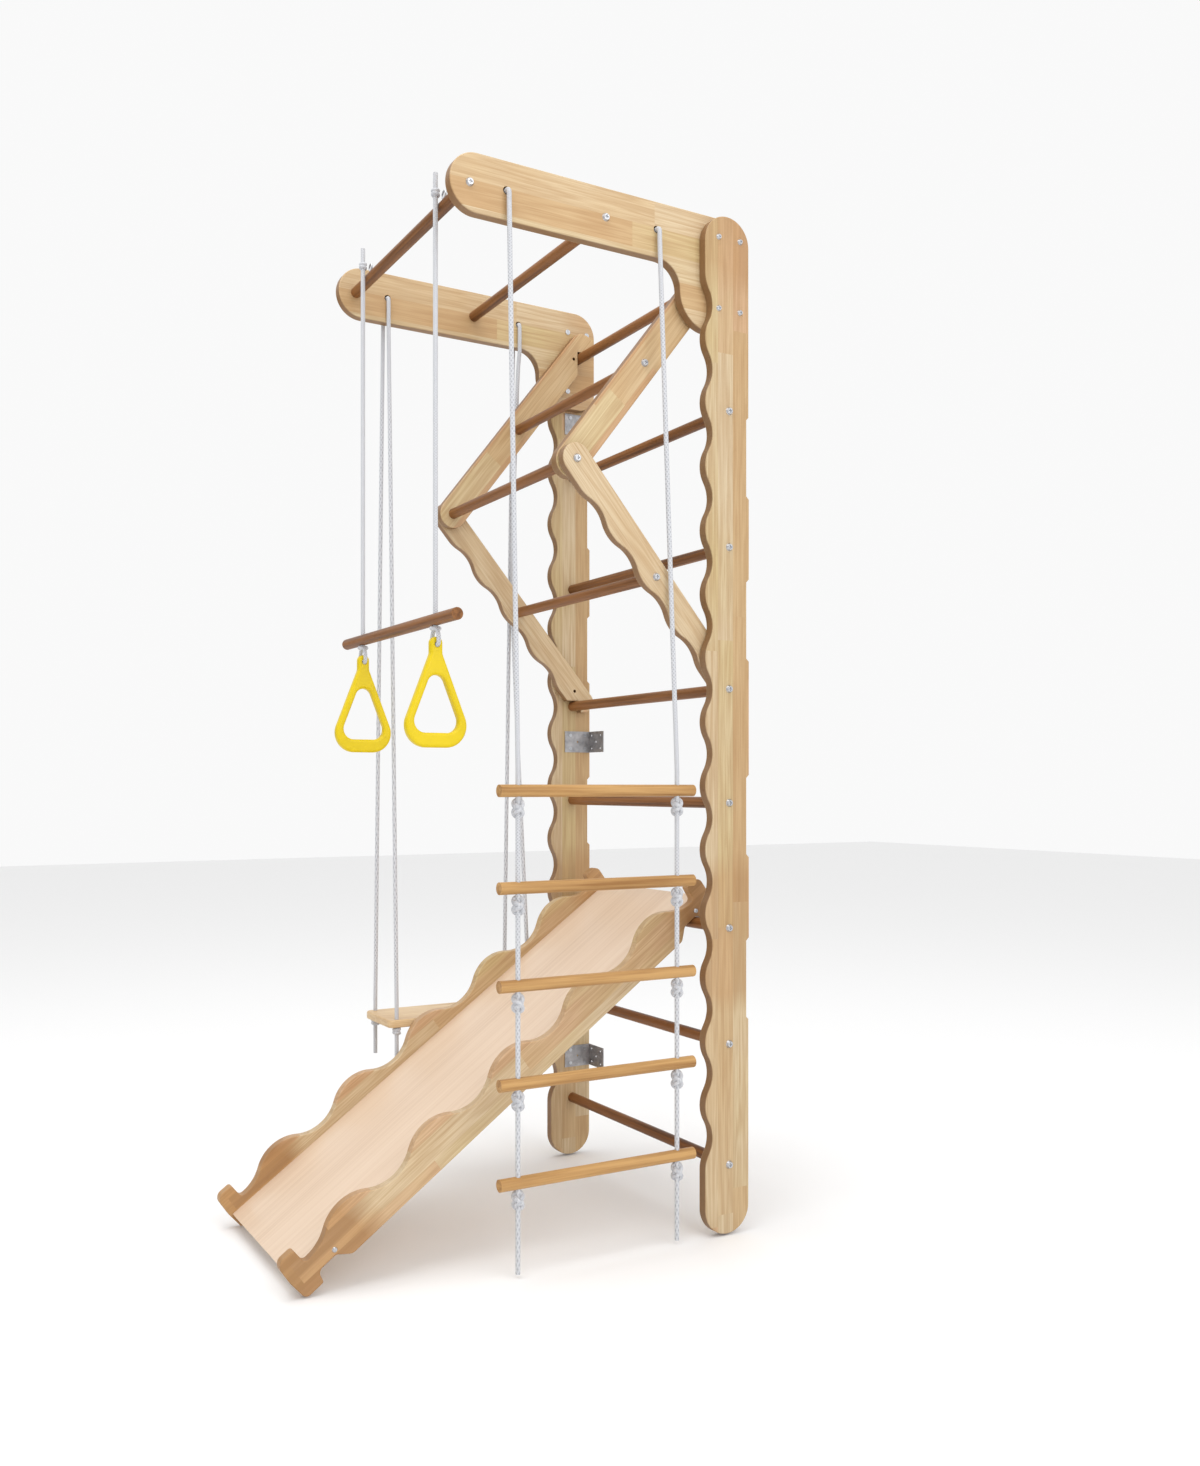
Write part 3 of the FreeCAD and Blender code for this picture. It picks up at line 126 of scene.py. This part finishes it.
class Finish:
    """A material under way: node() adds one shader node and gives its output."""

    def __init__(self, name, **settings):
        self.material = bpy.data.materials.new(name)
        self.material.use_nodes = True
        self.tree = self.material.node_tree
        self.shader = self.tree.nodes["Principled BSDF"]
        for key, value in settings.items():
            self.set(key.replace("_", " "), value)

    def node(self, kind, settings, values, out=0):
        made = self.tree.nodes.new(kind)
        for key, value in settings.items():
            if key == "stops":
                while len(made.color_ramp.elements) < len(value):
                    made.color_ramp.elements.new(0.5)
                for stop, (place, tone) in zip(made.color_ramp.elements, value):
                    stop.position = place
                    stop.color = tone
            else:
                setattr(made, key, value)
        pairs = values.items() if isinstance(values, dict) else enumerate(values)
        for key, value in pairs:
            if isinstance(value, Line):
                self.tree.links.new(value.socket, made.inputs[key])
            else:
                made.inputs[key].default_value = value
        return Line(self, made.outputs[out])

    def set(self, name, value):
        if isinstance(value, Line):
            self.tree.links.new(value.socket, self.shader.inputs[name])
        else:
            self.shader.inputs[name].default_value = value

    def stretch(self, where, scale):
        return self.node("ShaderNodeVectorMath", {"operation": "MULTIPLY"}, [where, scale])

    def place(self, turn=(0, 0, 0), scale=(1, 1, 1)):
        """Metres on the piece, turned and stretched."""
        where = self.node("ShaderNodeTexCoord", {}, {}, "Object")
        turned = self.node("ShaderNodeMapping", {"vector_type": "POINT"},
                           {"Vector": where, "Rotation": turn})
        return self.stretch(turned, scale)

    def axes(self, where):
        """The X, Y and Z of a place, as three values."""
        split = self.node("ShaderNodeSeparateXYZ", {}, [where])
        return [Line(self, output) for output in split.socket.node.outputs]

    def noise(self, where, scale, detail=3.0, rough=0.5):
        return self.node("ShaderNodeTexNoise", {}, {"Vector": where, "Scale": scale,
                                                    "Detail": detail, "Roughness": rough})

    def ramp(self, value, stops):
        return self.node("ShaderNodeValToRGB", {"stops": stops}, [value])

    def fade(self, value, start, end, first, last):
        """Goes evenly from first to last while the value goes from start to end."""
        return self.node("ShaderNodeMapRange", {}, [value, start, end, first, last])

    def mix(self, share, first, second, how="MIX"):
        return self.node("ShaderNodeMix", {"data_type": "RGBA", "blend_type": how},
                         {0: share, 6: first, 7: second}, 2)

    def bump(self, height, strength, distance):
        self.set("Normal", self.node("ShaderNodeBump", {}, {"Height": height,
                                                             "Strength": strength,
                                                             "Distance": distance}))


def rope_finish(name, length):
    """Braid that runs along the cord: the map's U follows the length."""
    finish = Finish(name, Roughness=0.72, Sheen_Weight=0.25)
    lengthwise, crosswise, _ = finish.axes(finish.node("ShaderNodeUVMap", {"uv_map": "UVMap"}, {}))
    along = lengthwise * (length / BRAID_STEP)
    around = crosswise * BRAID_ROUND
    left = ((along + around) * math.tau).sine()
    right = ((along - around) * math.tau).sine()
    weave = left.or_more(right)
    fuzz = finish.noise(finish.place(), 900.0, 2.0)
    finish.set("Base Color", finish.ramp(weave * 0.28 + fuzz * 0.5 + 0.12,
                                         [(0.0, CORD_SHADE), (0.45, (0.53, 0.54, 0.57, 1)),
                                          (1.0, CORD_WHITE)]))
    finish.bump(weave + fuzz * 0.6, 0.3, 0.0005)
    return finish.material


def centre_line(name, points):
    """The rope's own smooth line, and the points that it follows."""
    curve = bpy.data.curves.new(name, "CURVE")
    curve.dimensions = "3D"
    curve.resolution_u = 6
    spline = curve.splines.new("NURBS")
    spline.points.add(len(points) - 1)
    for knot, point in zip(spline.points, points):
        knot.co = (*point, 1.0)
    spline.order_u = 3
    spline.use_endpoint_u = True
    made = bpy.data.objects.new(name, curve)
    scene.collection.objects.link(made)
    bare = bpy.data.meshes.new_from_object(made)
    path = [tuple(vertex.co) for vertex in bare.vertices]
    bpy.data.meshes.remove(bare)
    return made, path


def rope(name, points, thick=ROPE_WIDE):
    """A closed mesh tube along the rope's line, its map running lengthwise."""
    made, path = centre_line(name + " line", points)
    made.data.bevel_depth = thick / 2
    made.data.bevel_resolution = 3
    made.data.use_fill_caps = True
    mesh = bpy.data.meshes.new_from_object(made)
    bpy.data.objects.remove(made)
    for face in mesh.polygons:
        # The sides are smooth; the cut ends, which have more corners, stay flat.
        face.use_smooth = len(face.vertices) == 4
    length = sum((Vector(b) - Vector(a)).length for a, b in zip(path, path[1:]))
    mesh.materials.clear()
    mesh.materials.append(rope_finish(name + " braid", length))
    tube = bpy.data.objects.new(name, mesh)
    scene.collection.objects.link(tube)
    return tube, path, length


knot_cord = Finish("knot cord", Roughness=0.75, Sheen_Weight=0.25)
strands = knot_cord.noise(knot_cord.place(scale=(260, 260, 160)), 1.0, 2.0)
flecks = knot_cord.noise(knot_cord.place(), 700.0, 2.0)
knot_cord.set("Base Color", knot_cord.ramp(strands * 0.6 + flecks * 0.4,
                                           [(0.25, CORD_SHADE), (0.55, (0.56, 0.57, 0.60, 1)),
                                            (0.8, CORD_WHITE)]))
knot_cord.bump(strands + flecks, 0.5, 0.0008)


def turns(shape, centre, wraps):
    """Adds rope turns to a mesh: each is (height, ring radius, tilt, lean direction)."""
    for height, wide, tilt, lean in wraps:
        ring = bmesh.ops.create_circle(shape, segments=12, radius=TIGHT_STRAND)["verts"]
        edges = list({edge for vert in ring for edge in vert.link_edges})
        bmesh.ops.rotate(shape, verts=ring, cent=(0, 0, 0),
                         matrix=Matrix.Rotation(math.pi / 2, 3, "X"))
        bmesh.ops.translate(shape, verts=ring, vec=(wide, 0, 0))
        before = set(shape.verts)
        bmesh.ops.spin(shape, geom=ring + edges, cent=(0, 0, 0), axis=(0, 0, 1),
                       angle=math.tau, steps=28, use_merge=True)
        whole = [vert for vert in shape.verts if vert not in before]
        whole += [vert for vert in ring if vert.is_valid]
        lean_axis = Vector((math.cos(math.radians(lean)), math.sin(math.radians(lean)), 0))
        bmesh.ops.rotate(shape, verts=whole, cent=(0, 0, 0),
                         matrix=Matrix.Rotation(math.radians(tilt), 3, lean_axis))
        bmesh.ops.translate(shape, verts=whole, vec=Vector(centre) + Vector((0, 0, height)))


def finished(name, shape, material, body, *stands_for):
    """A bmesh made into a piece that moves with a body."""
    bmesh.ops.remove_doubles(shape, verts=shape.verts, dist=1e-6)
    bmesh.ops.recalc_face_normals(shape, faces=shape.faces)
    mesh = bpy.data.meshes.new(name)
    shape.to_mesh(mesh)
    shape.free()
    for face in mesh.polygons:
        face.use_smooth = True
    mesh.materials.append(material)
    piece = bpy.data.objects.new(name, mesh)
    scene.collection.objects.link(piece)
    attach(piece, body)
    if stands_for:
        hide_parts(*stands_for)
    return piece


# The swing's ropes go through the left arm's two holes and down both its faces;
# under the seat each has a stopper knot and a short free end.
HOLE_HIGH = 2.1455
FRONT_HOLE, BACK_HOLE = -0.5823, -0.2255
SWING_X = -0.314
BEND_TOP, BEND_FOOT = 2.0865, 2.0745
swing_knots = bmesh.new()
for place, y in (("front", FRONT_HOLE), ("back", BACK_HOLE)):
    for side, out in (("outer", -1), ("inner", 1)):
        foot = SWING_X + out * 0.069
        top = SWING_X + out * 0.018
        run = [(SWING_X + out * 0.0338, y, 1.60)]
        if place == "back" and side == "inner":
            # It goes outside the incline's boards.
            run = [(-0.3065, y, 2.028), (-0.3225, y, 1.80), (-0.337, y, 1.60),
                   (-0.337, y, 1.50), (-0.337, y, 1.40), (-0.290, y, 0.91)]
        tube, path, length = rope("swing_rope_%s_%s_braid" % (place, side),
                                  [(SWING_X, y, HOLE_HIGH),
                                   (SWING_X + out * 0.010, y, HOLE_HIGH),
                                   (top - out * 0.001, y, 2.1445),
                                   (top, y, 2.128),
                                   (top, y, 2.100),
                                   (top, y, BEND_TOP),
                                   (top, y, BEND_FOOT),
                                   *run,
                                   (foot, y, 0.450),
                                   (foot, y, 0.430),
                                   (foot, y, 0.310)])
        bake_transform(tube)
        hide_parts("swing_rope_%s_%s" % (place, side), "swing_loop_" + place)
        turns(swing_knots, (foot, y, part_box("swing_seat")[0][2] - 0.009),
              [(0.004, 0.0058, 14, 40), (-0.004, 0.0058, -14, 40)])
finished("swing_stopper_knots", swing_knots, knot_cord.material, "swing",
                 "swing_knots")

# The ladder's ropes are stopped by a knot inside the right arm, come out through
# its holes and carry five rungs, each resting on a long knot.
LADDER_X = 0.337
ARM_BORE_X = 0.293
ladder_rungs = ["ladder_rung_%d" % number for number in range(1, 6)]
ladder_knots = bmesh.new()
for place, y, low in (("front", FRONT_HOLE, -0.563), ("back", BACK_HOLE, -0.1815)):
    tube, path, length = rope("ladder_rope_%s_braid" % place,
                              [(ARM_BORE_X, y, HOLE_HIGH),
                               (0.318, y, HOLE_HIGH),
                               (0.336, y, HOLE_HIGH),
                               (LADDER_X, y, 2.130),
                               (LADDER_X, y, 2.1145),
                               (LADDER_X, (y + low) / 2, 1.55),
                               (LADDER_X, low, 1.010),
                               (LADDER_X, low, 0.985),
                               (LADDER_X, low, 0.5),
                               (LADDER_X, low, 0.004)])
    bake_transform(tube)
    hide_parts("ladder_rope_" + place, "ladder_stub_" + place)
    for rung in ladder_rungs:
        turns(ladder_knots, (LADDER_X, low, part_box(rung)[0][2] - 0.022),
              [(0.0085, 0.0088, 64, 66), (-0.0088, 0.0090, -66, 54), (0.0030, 0.0086, 34, 150),
               (-0.0045, 0.0082, -30, 158)])
    stopper = bmesh.new()
    turns(stopper, (0, 0, 0), [(0.003, 0.0058, 12, 30), (-0.004, 0.0058, -14, 70)])
    bmesh.ops.rotate(stopper, verts=stopper.verts, cent=(0, 0, 0),
                     matrix=Matrix.Rotation(math.pi / 2, 3, "Y"))
    bmesh.ops.translate(stopper, verts=stopper.verts, vec=(ARM_BORE_X, y, HOLE_HIGH))
    finished("ladder_stopper_%s" % place, stopper, knot_cord.material, "frame")
finished("ladder_long_knots", ladder_knots, knot_cord.material, "rope_ladder",
                 "ladder_knots")

# The trapeze ropes hang in front of the tip rung from two screw eyes, go through
# the bar, and end in a sling for each hand ring.
TRAPEZE_APART = 0.205
TRAPEZE_Y = -0.682
SLING_HALF = [(0.005, 1.290), (0.0100, 1.283), (0.0165, 1.270), (0.0165, 1.2535)]
trapeze_knots = bmesh.new()
for side, x in (("left", -TRAPEZE_APART), ("right", TRAPEZE_APART)):
    tube, path, length = rope("trapeze_rope_%s_braid" % side, [(x, TRAPEZE_Y, 1.2865),
                                                               (x, TRAPEZE_Y, 1.45),
                                                               (x, TRAPEZE_Y, 1.8),
                                                               (x, TRAPEZE_Y, 2.1),
                                                               (x, TRAPEZE_Y, 2.208)])
    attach(tube, "trapeze")
    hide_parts("trapeze_rope_" + side)
    sling, _, _ = rope("ring_sling_%s" % side,
                       [*[(x - wide, TRAPEZE_Y, high) for wide, high in SLING_HALF],
                        (x, TRAPEZE_Y, 1.2525),
                        *[(x + wide, TRAPEZE_Y, high) for wide, high in reversed(SLING_HALF)]],
                       SLING_WIDE)
    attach(sling, "trapeze")
    turns(trapeze_knots, (x, TRAPEZE_Y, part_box("trapeze_bar")[0][2] - 0.0065),
          [(0.001, 0.0078, 12, 70)])
    turns(trapeze_knots, (x, TRAPEZE_Y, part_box("eye_bolts")[1][2] - 0.010),
          [(0.004, 0.0048, 14, 60), (-0.004, 0.0048, -12, 30)])
finished("trapeze_tied_knots", trapeze_knots, knot_cord.material, "trapeze",
                 "trapeze_knots")

# ------------------------------------------------------------------ boards
# Pine boards glued up from narrow staves with finger joints, planed, with the
# edges rounded over, and a clear satin lacquer. The grain runs the board's length.
PINE = [(0.0, (0.43, 0.235, 0.100, 1)), (0.22, (0.57, 0.41, 0.225, 1)),
        (0.45, (0.64, 0.525, 0.350, 1)), (0.62, (0.58, 0.465, 0.245, 1)),
        (0.8, (0.60, 0.41, 0.255, 1)), (1.0, (0.49, 0.27, 0.120, 1))]
HEARTWOOD = [(0.35, (0.27, 0.125, 0.045, 1)), (0.6, (0.50, 0.28, 0.12, 1))]
LATE_WOOD = (0.36, 0.20, 0.080, 1)
FIBRES = (0.34, 0.19, 0.08, 1)
# Dark brown painted on the boards' narrow edges: painted shade.
EDGE_SHADE = (0.20, 0.098, 0.038, 1)
HEART_BLUR = 0.03
EDGE_START, EDGE_END = 0.0032, 0.0004


def pine(name, board, turn, stave, stave_long, light, shift, brown=0.86, heartwood=()):
    """Pine with its grain along Z, turned about X by turn degrees; a board gives its thickness.
    The light factor is painted light over the whole piece, and brown is the share of painted shade
    on its narrow edges.
    """
    finish = Finish(name, Specular_IOR_Level=0.25, Coat_Weight=0.03, Coat_Roughness=0.3)
    where = finish.place(turn=(math.radians(turn), 0, 0))
    side, across, along = finish.axes(where)
    row = ((across + shift) * (1 / stave)).floor()
    jump = finish.node("ShaderNodeTexWhiteNoise", {"noise_dimensions": "1D"}, {"W": row + 3.7})
    cell = (along * (1 / stave_long) + jump * 5.0).floor()
    tint = finish.node("ShaderNodeTexWhiteNoise", {"noise_dimensions": "2D"},
                       {"Vector": finish.node("ShaderNodeCombineXYZ", {}, [row, cell, 0.0])})
    shifted = finish.node("ShaderNodeVectorMath", {"operation": "ADD"},
                          [where, finish.node("ShaderNodeCombineXYZ", {},
                                              [tint * 7.0, tint * 13.0, jump * 3.0])])
    figure = finish.noise(finish.stretch(shifted, (9.0, 30.0, 1.5)), 1.0, 3.0, 0.55)
    rings = (figure * 42.0).sine()
    fibre = finish.noise(finish.stretch(shifted, (220.0, 420.0, 9.0)), 1.0, 2.0, 0.6)
    cloud = finish.noise(finish.place(scale=(3.0, 6.0, 4.0)), 1.0, 2.0)
    base = finish.ramp(tint * 0.75 + cloud * 0.3, PINE)
    # Some lengths are of browner heartwood: each is (from, to, share).
    heart = finish.ramp(figure, HEARTWOOD)
    for low, high, share in heartwood:
        spot = along + cloud * 0.12 - 0.06
        rise = finish.fade(spot, low - HEART_BLUR, low + HEART_BLUR, 0.0, 1.0)
        fall = finish.fade(spot, high - HEART_BLUR, high + HEART_BLUR, 1.0, 0.0)
        base = finish.mix(rise * fall * share, base, heart)
    late = finish.mix(rings * 0.17 + 0.17, base, LATE_WOOD)
    fibres = finish.mix(fibre ** 2.0, late, FIBRES)
    # The narrow edges between the broad faces are painted darker brown by the brown share: painted
    # shade on the board edges.
    inner, outer = (corner[0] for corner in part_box(board))
    half = (outer - inner) / 2
    depth = abs(abs(side) - (inner + outer) / 2)
    edge = finish.fade(depth, half - EDGE_START, half - EDGE_END, brown, 0.0)
    shaded_edges = finish.mix(edge, fibres, EDGE_SHADE)
    # The pine is multiplied by the piece's light factor: painted light, brighter copies of the one
    # wood on the pieces given more than 1.
    finish.set("Base Color", finish.mix(1.0, shaded_edges, (light, light, light, 1), "MULTIPLY"))
    finish.set("Roughness", fibre * 0.18 + 0.34)
    finish.bump(rings * 0.25 + fibre, 0.12, 0.0006)
    return finish.material


def dress(material, *names):
    """Gives CAD pieces their finish."""
    for name in names:
        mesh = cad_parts[name].data
        mesh.materials.clear()
        mesh.materials.append(material)


post_pine = pine("post pine", "post_right_upper", turn=0.0, stave=0.040, stave_long=0.62,
                 light=1.0, shift=0.003, heartwood=((0.50, 0.80, 0.5), (2.06, 2.4, 0.45)))
dress(post_pine, "post_left_upper", "post_left_lower", "post_right_upper", "post_right_lower")
arm_pine = pine("arm pine", "arm_right", turn=90.0, stave=0.052, stave_long=0.75,
                light=1.10, shift=0.017, heartwood=((-0.075, 0.3, 0.45),))
dress(arm_pine, "arm_left", "arm_right")
upper_pine = pine("upper incline pine", "incline_upper_board_right", turn=38.1, stave=0.05,
                  stave_long=0.8, light=1.08, shift=0.02)
dress(upper_pine, "incline_upper_board_left", "incline_upper_board_right")
lower_pine = pine("lower incline pine", "incline_lower_board_right", turn=-40.7, stave=0.045,
                  stave_long=0.7, light=1.08, shift=0.02)
dress(lower_pine, "incline_lower_board_left", "incline_lower_board_right")
rail_pine = pine("slide rail pine", "slide_rail_right", turn=54.3, stave=0.047, stave_long=0.6,
                 light=1.08, shift=0.02, brown=0.12,
                 heartwood=((-1.2, -0.60, 0.85), (0.31, 0.9, 0.85)))
dress(rail_pine, "slide_rail_left", "slide_rail_right")


# ------------------------------------------------------------------ rungs
# Turned beech dowels, 25 mm thick, oiled to a warm brown. The ladder's rungs are
# the same dowel left pale; the seat is a planed pine plank with soft corners.
def dowel(name, light, deep, along):
    """Dowel whose grain runs along one axis: 0 is X and 1 is Y."""
    finish = Finish(name, Specular_IOR_Level=0.22, Coat_Weight=0.02, Coat_Roughness=0.35)
    close, wide = [150.0] * 3, [38.0] * 3
    close[along], wide[along] = 4.0, 1.2
    grain = finish.noise(finish.place(scale=close), 1.0, 3.0, 0.6)
    figure = finish.noise(finish.place(scale=wide), 1.0, 2.0)
    pores = finish.noise(finish.place(scale=[value * 14.0 for value in wide]), 1.0, 2.0)
    tone = finish.ramp(grain * 0.5 + figure * 0.5, [(0.36, deep), (0.58, light)])
    finish.set("Base Color", finish.mix(pores * 0.25, tone, deep))
    finish.set("Roughness", grain * 0.2 + 0.32)
    finish.bump(grain + pores * 0.5, 0.12, 0.0005)
    return finish.material


brown_dowel = dowel("brown dowel", (0.290, 0.122, 0.038, 1), (0.095, 0.034, 0.009, 1), 0)
dress(brown_dowel, "arm_rung_tip", "arm_rung_middle", "arm_rung_top", "incline_upper_rung",
      "incline_knee_rung", "incline_lower_rung", "trapeze_bar",
      *["wall_rung_%d" % number for number in range(1, 8)])
pale_dowel = dowel("pale dowel", (0.57, 0.335, 0.130, 1), (0.30, 0.145, 0.045, 1), 1)
dress(pale_dowel, *ladder_rungs)
seat_pine = pine("seat pine", "swing_seat", turn=90.0, stave=0.053, stave_long=0.9, light=1.25,
                 shift=0.02, brown=0.0)
dress(seat_pine, "swing_seat")

# ------------------------------------------------------------------ slide bed
# One sheet of birch plywood, sanded and lacquered, held between the rails. The
# fine straight lines of its face veneer run down the slide.
SLIDE_SLOPE = 35.67
bed = Finish("slide veneer", Roughness=0.33, Specular_IOR_Level=0.3, Coat_Weight=0.05,
             Coat_Roughness=0.22)
down_bed = bed.place(turn=(math.radians(-SLIDE_SLOPE), 0, 0))
veneer = bed.noise(bed.stretch(down_bed, (140.0, 2.2, 3.0)), 1.0, 3.0, 0.6)
bands = bed.noise(bed.stretch(down_bed, (16.0, 0.8, 1.0)), 1.0, 2.0)
bed.set("Base Color", bed.ramp(veneer * 0.5 + bands * 0.5,
                               [(0.3, (0.63, 0.46, 0.325, 1)), (0.5, (0.72, 0.55, 0.405, 1)),
                                (0.7, (0.77, 0.61, 0.465, 1))]))
bed.bump(veneer, 0.08, 0.0004)
dress(bed.material, "slide_bed")


# ------------------------------------------------------------------ steel
# Zinc-plated screws, bolts, nuts and screw eyes, and galvanised sheet angles with
# a faint grey mottle.
def plated(name, light, deep, rough, grain):
    finish = Finish(name, Metallic=1.0)
    mottle = finish.noise(finish.place(), grain, 3.0, 0.6)
    fine = finish.noise(finish.place(), grain * 12.0, 2.0)
    finish.set("Base Color", finish.ramp(mottle, [(0.3, deep), (0.7, light)]))
    finish.set("Roughness", fine * 0.25 + (rough - 0.12))
    finish.bump(fine, 0.06, 0.0003)
    return finish.material


zinc = plated("bright zinc", (0.62, 0.63, 0.65, 1), (0.42, 0.43, 0.46, 1), 0.33, 240.0)
dress(zinc, "rung_bolts", "arm_bolts", "arm_nuts", "bracket_screws", "eye_bolts",
      "incline_upper_bolts", "incline_lower_bolts", "knee_washers", "slide_screws")
galvanised = plated("galvanised sheet", (0.50, 0.49, 0.50, 1), (0.30, 0.30, 0.31, 1), 0.5, 55.0)
dress(galvanised, "wall_brackets")

# ------------------------------------------------------------------ hand rings
# Injection-moulded rounded triangles, each in one piece of satin yellow plastic,
# that hang in the trapeze's slings.
ring_plastic = Finish("yellow plastic", Specular_IOR_Level=0.35)
orange_peel = ring_plastic.noise(ring_plastic.place(), 420.0, 2.0)
wear = ring_plastic.noise(ring_plastic.place(), 26.0)
ring_plastic.set("Base Color", ring_plastic.ramp(wear, [(0.3, (0.70, 0.52, 0.001, 1)),
                                                        (0.7, (0.75, 0.56, 0.001, 1))]))
ring_plastic.set("Roughness", wear * 0.12 + 0.30)
ring_plastic.bump(orange_peel, 0.03, 0.0001)
dress(ring_plastic.material, "ring_left", "ring_right")

# ------------------------------------------------------------------ room
# A plain pale floor, just clear of the set's feet, and soft light from the
# ladder's side and above.
FLOOR_LEVEL = -0.004
floor_shape = bmesh.new()
bmesh.ops.create_grid(floor_shape, x_segments=1, y_segments=1, size=14.0)
bmesh.ops.translate(floor_shape, verts=floor_shape.verts, vec=(0, 0, FLOOR_LEVEL))
floor_mesh = bpy.data.meshes.new("floor")
floor_shape.to_mesh(floor_mesh)
floor_shape.free()
floor = bpy.data.objects.new("floor", floor_mesh)
floor_finish = Finish("pale floor", Roughness=0.9)
floor_finish.set("Base Color", (0.89, 0.89, 0.89, 1))
floor_mesh.materials.append(floor_finish.material)
scene.collection.objects.link(floor)
world = scene.world or bpy.data.worlds.new("room")
scene.world = world
world.use_nodes = True
sky = world.node_tree
toward = sky.nodes.new("ShaderNodeTexCoord")
parted = sky.nodes.new("ShaderNodeSeparateXYZ")
sky.links.new(toward.outputs["Generated"], parted.inputs[0])


def sky_sum(how, first, second):
    made = sky.nodes.new("ShaderNodeMath")
    made.operation = how
    for socket, value in zip(made.inputs, (first, second)):
        if isinstance(value, float):
            socket.default_value = value
        else:
            sky.links.new(value, socket)
    return made.outputs[0]


# The studio is bright behind, beside and above the set and dark in front of it.
beside = sky_sum("MAXIMUM", parted.outputs["Y"], sky_sum("MULTIPLY", parted.outputs["X"], 0.8))
above = sky_sum("MULTIPLY", sky_sum("MAXIMUM", parted.outputs["Z"], 0.0), 0.8)
walls = sky.nodes.new("ShaderNodeMapRange")
for key, value in (("From Min", -0.45), ("From Max", 0.0), ("To Min", 0.03), ("To Max", 0.95)):
    walls.inputs[key].default_value = value
sky.links.new(sky_sum("ADD", beside, above), walls.inputs["Value"])
sky.links.new(walls.outputs[0], sky.nodes["Background"].inputs["Strength"])
sky.nodes["Background"].inputs["Color"].default_value = (1.0, 1.0, 1.0, 1)
lit_point = Vector((0, -0.4, 1.1))
for name, place, wide, power in (("ladder side", (4.2, 0.2, 3.0), 3.2, 60),
                                 ("overhead", (0.3, -1.5, 4.6), 3.0, 70)):
    lamp_data = bpy.data.lights.new(name, "AREA")
    lamp_data.energy = power
    lamp_data.size = wide
    lamp = bpy.data.objects.new(name, lamp_data)
    lamp.location = place
    lamp.rotation_euler = (lit_point - Vector(place)).to_track_quat("-Z", "Y").to_euler()
    scene.collection.objects.link(lamp)
scene.view_settings.view_transform = "Standard"
